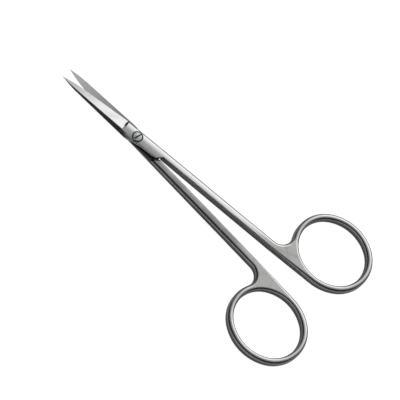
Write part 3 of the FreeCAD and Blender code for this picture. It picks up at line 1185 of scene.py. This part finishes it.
@dataclass
class PivotScrew:
    """Domed screw, turned by a rule, with an open slit in its skin where the slot is."""

    node: str = "pivot_screw"
    body: str = "rear"
    slot: str = "screw_steel"
    head_radius: float = 1.62 * MM
    shank_radius: float = 1.0 * MM
    head_height: float = 0.53 * MM
    head_chamfer: float = 0.22 * MM
    head_rise: float = 0.14 * MM
    end_chamfer: float = 0.15 * MM
    slot_width: float = 0.46 * MM
    slot_depth: float = 0.42 * MM
    slot_deg: float = 75.0
    facets: int = 96
    dome_points: int = 24
    crease_deg: float = 30.0

    def profile(self) -> list[tuple[float, float]]:
        """Half section of the screw.

        Returns:
            Radius and height of each point, from the middle of the end to the middle of the dome.
        """
        low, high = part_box(self.node)
        face = high.z - self.head_rise
        dome_edge = self.head_radius - self.head_chamfer
        dome_radius = (dome_edge ** 2 + self.head_rise ** 2) / (2 * self.head_rise)
        points = [
            (0.0, low.z),
            (self.shank_radius - self.end_chamfer, low.z),
            (self.shank_radius, low.z + self.end_chamfer),
            (self.shank_radius, face - self.head_height),
            (self.head_radius, face - self.head_height),
            (self.head_radius, face - self.head_chamfer),
        ]
        for index in range(self.dome_points):
            radius = dome_edge * (1 - index / (self.dome_points - 1))
            height = high.z - dome_radius + math.sqrt(dome_radius ** 2 - radius ** 2)
            points.append((radius, height))
        return points

    def build(self, effects: dict[str, bpy.types.NodeTree]) -> bpy.types.Object:
        """Turns the section, opens the slit and dresses the screw.

        Args:
            effects: The shared effects by name.

        Returns:
            The finished piece, in place of the CAD solid.
        """
        section = bpy.data.meshes.new("screw_section")
        points = self.profile()
        edges = [(i, i + 1) for i in range(len(points) - 1)]
        section.from_pydata([(radius, 0.0, height) for radius, height in points], edges, [])
        piece = bpy.data.objects.new("turned_pivot_screw", section)
        bpy.context.scene.collection.objects.link(piece)
        material = TurnedSteel().build(effects)
        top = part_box(self.node)[1].z
        settings = {
            "Rings": len(points),
            "Facets": self.facets + 1,
            "Slot Width": self.slot_width,
            "Slot Floor": top - self.slot_depth,
            "Slot Turn": math.radians(self.slot_deg),
            "Material": material,
        }
        apply_nodes(piece, *LatheAndSlot().build(), settings)
        close_mesh(piece.data)
        smooth_by_angle(piece.data, self.crease_deg)
        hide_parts(self.node)
        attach(piece, self.body)
        LOG.info("%s: %d faces, slot open to the inside", piece.name, len(piece.data.polygons))
        return piece


class LatheAndSlot:
    """Geometry Nodes that turn a section about Z and cut a slit for the slot across its top.

    The difference only takes the skin away inside the cutter. It adds no walls and no floor, so
    the result is not closed, and the inside of the screw shows through the slit.
    The section's points run outward and up, so each is one ring of the turned body.
    """

    inputs = (
        Port("Section", SocketKind.GEOMETRY),
        Port("Rings", SocketKind.COUNT, 8),
        Port("Facets", SocketKind.COUNT, 97),
        Port("Slot Width", SocketKind.VALUE, 0.46 * MM),
        Port("Slot Floor", SocketKind.VALUE, 1.0 * MM),
        Port("Slot Turn", SocketKind.VALUE, 0.0),
        Port("Material", SocketKind.MATERIAL),
    )
    outputs = (Port("Screw", SocketKind.GEOMETRY),)
    slot_reach = 6.0 * MM
    merge = 0.001 * MM

    def build(self) -> tuple[bpy.types.NodeTree, dict[str, str]]:
        """Makes the tree.

        Returns:
            The tree, and each input's identifier by its name.
        """
        tree = bpy.data.node_groups.new("lathe_and_slot", "GeometryNodeTree")
        identifiers = add_ports(tree, self.inputs, self.outputs)
        graph = Graph(tree)
        given = graph.add("NodeGroupInput").outputs
        turned = self.turn(graph, given)
        cut = self.cut_slot(graph, given, turned)
        single = graph.add("GeometryNodeRealizeInstances", {0: cut}).outputs[0]
        dressed = graph.add("GeometryNodeSetMaterial", {0: single, "Material": given["Material"]})
        graph.add("NodeGroupOutput", {0: dressed.outputs[0]})
        return tree, identifiers

    def turn(self, graph: Graph, given: bpy.types.NodeOutputs) -> bpy.types.NodeSocket:
        """Wraps a grid round Z, a ring of it for each point of the section.

        Args:
            graph: The tree's graph.
            given: The tree's inputs.

        Returns:
            The closed turned body.
        """
        grid = graph.add(
            "GeometryNodeMeshGrid", {"Vertices X": given["Rings"], "Vertices Y": given["Facets"]}
        ).outputs[0]
        index = graph.add("GeometryNodeInputIndex").outputs[0]
        ring = graph.math("FLOOR", graph.math("DIVIDE", index, given["Facets"]))
        step = graph.math("SUBTRACT", index, graph.math("MULTIPLY", ring, given["Facets"]))
        position = graph.add("GeometryNodeInputPosition").outputs[0]
        point = graph.add(
            "GeometryNodeSampleIndex",
            {0: given["Section"], 1: position, "Index": ring},
            data_type="FLOAT_VECTOR",
        ).outputs[0]
        radius, _, height = graph.split(point)
        whole = graph.math("SUBTRACT", given["Facets"], 1.0)
        angle = graph.math("DIVIDE", graph.math("MULTIPLY", step, 2 * math.pi), whole)
        x = graph.math("MULTIPLY", radius, graph.math("COSINE", angle))
        y = graph.math("MULTIPLY", radius, graph.math("SINE", angle))
        place = graph.join(x, y, height)
        wrapped = graph.add("GeometryNodeSetPosition", {0: grid, "Position": place}).outputs[0]
        merged = graph.add("GeometryNodeMergeByDistance", {0: wrapped, "Distance": self.merge})
        return merged.outputs[0]

    def cut_slot(
        self, graph: Graph, given: bpy.types.NodeOutputs, body: bpy.types.NodeSocket
    ) -> bpy.types.NodeSocket:
        """Takes the skin away along a straight slot across the top.

        Args:
            graph: The tree's graph.
            given: The tree's inputs.
            body: The turned body.

        Returns:
            The body with an open slit, without the slot's walls and floor.
        """
        size = graph.join(self.slot_reach, given["Slot Width"], self.slot_reach)
        block = graph.add("GeometryNodeMeshCube", {"Size": size}).outputs[0]
        middle = graph.math("ADD", given["Slot Floor"], self.slot_reach / 2)
        inputs = {
            0: block,
            "Translation": graph.join(z=middle),
            "Rotation": graph.join(z=given["Slot Turn"]),
        }
        placed = graph.add("GeometryNodeTransform", inputs).outputs[0]
        cutter = graph.add("GeometryNodeMeshBoolean", {0: body, 1: placed}, operation="DIFFERENCE")
        return cutter.outputs[0]


def apply_nodes(
    piece: bpy.types.Object,
    tree: bpy.types.NodeTree,
    identifiers: dict[str, str],
    settings: dict[str, Setting],
) -> None:
    """Turns a piece into the plain mesh that its Geometry Nodes make.

    Args:
        piece: The object whose mesh goes into the tree.
        tree: The tree.
        identifiers: Each input's identifier by its name.
        settings: What each named input gets.
    """
    modifier = piece.modifiers.new("rule", "NODES")
    modifier.node_group = tree
    for name, value in settings.items():
        modifier[identifiers[name]] = value
    apply_modifier(piece, modifier)


def apply_modifier(piece: bpy.types.Object, modifier: bpy.types.Modifier) -> None:
    """Gives a piece the mesh that its modifier makes, and takes the modifier away."""
    evaluated = piece.evaluated_get(bpy.context.evaluated_depsgraph_get())
    result = bpy.data.meshes.new_from_object(evaluated)
    piece.modifiers.remove(modifier)
    piece.data = result


def triangulate(work: bmesh.types.BMesh) -> None:
    """Splits a mesh's faces of more than three corners."""
    bmesh.ops.triangulate(work, faces=[face for face in work.faces if len(face.verts) > 3])


def close_mesh(mesh: bpy.types.Mesh) -> None:
    """Merges a mesh's doubles and turns its faces outward."""
    work = bmesh.new()
    work.from_mesh(mesh)
    bmesh.ops.remove_doubles(work, verts=work.verts, dist=0.0005 * MM)
    bmesh.ops.recalc_face_normals(work, faces=work.faces)
    work.to_mesh(mesh)
    work.free()


def smooth_by_angle(mesh: bpy.types.Mesh, degrees: float) -> None:
    """Smooths a mesh except along edges sharper than an angle."""
    for polygon in mesh.polygons:
        polygon.use_smooth = True
    mesh.set_sharp_from_angle(angle=math.radians(degrees))


def main() -> None:
    """Builds the studio, dresses the pieces and logs each one."""
    logging.basicConfig(level=logging.INFO, format="%(name)s: %(message)s")
    zones = HalfZones(HalfLayout())
    shared = (GroundGrain(), HandlingScratches(), HandlingHaze(), EdgeWear(), zones)
    effects = {effect.name: effect.build() for effect in shared}
    front_steel = ForgedSteel("front_forged_steel", Side.FRONT)
    rear_steel = ForgedSteel("rear_forged_steel", Side.REAR, shank_colour=SHADED_SHANK)
    ForgedHalf("front_half", "front", front_steel).build(effects)
    ForgedHalf("rear_half", "rear", rear_steel).build(effects)
    PivotScrew().build(effects)
    PaperFloor().build()
    SoftStudio().build()
    PhotoCamera().build()
    bpy.context.scene.view_settings.view_transform = "Standard"


if __name__ == "__main__":
    main()
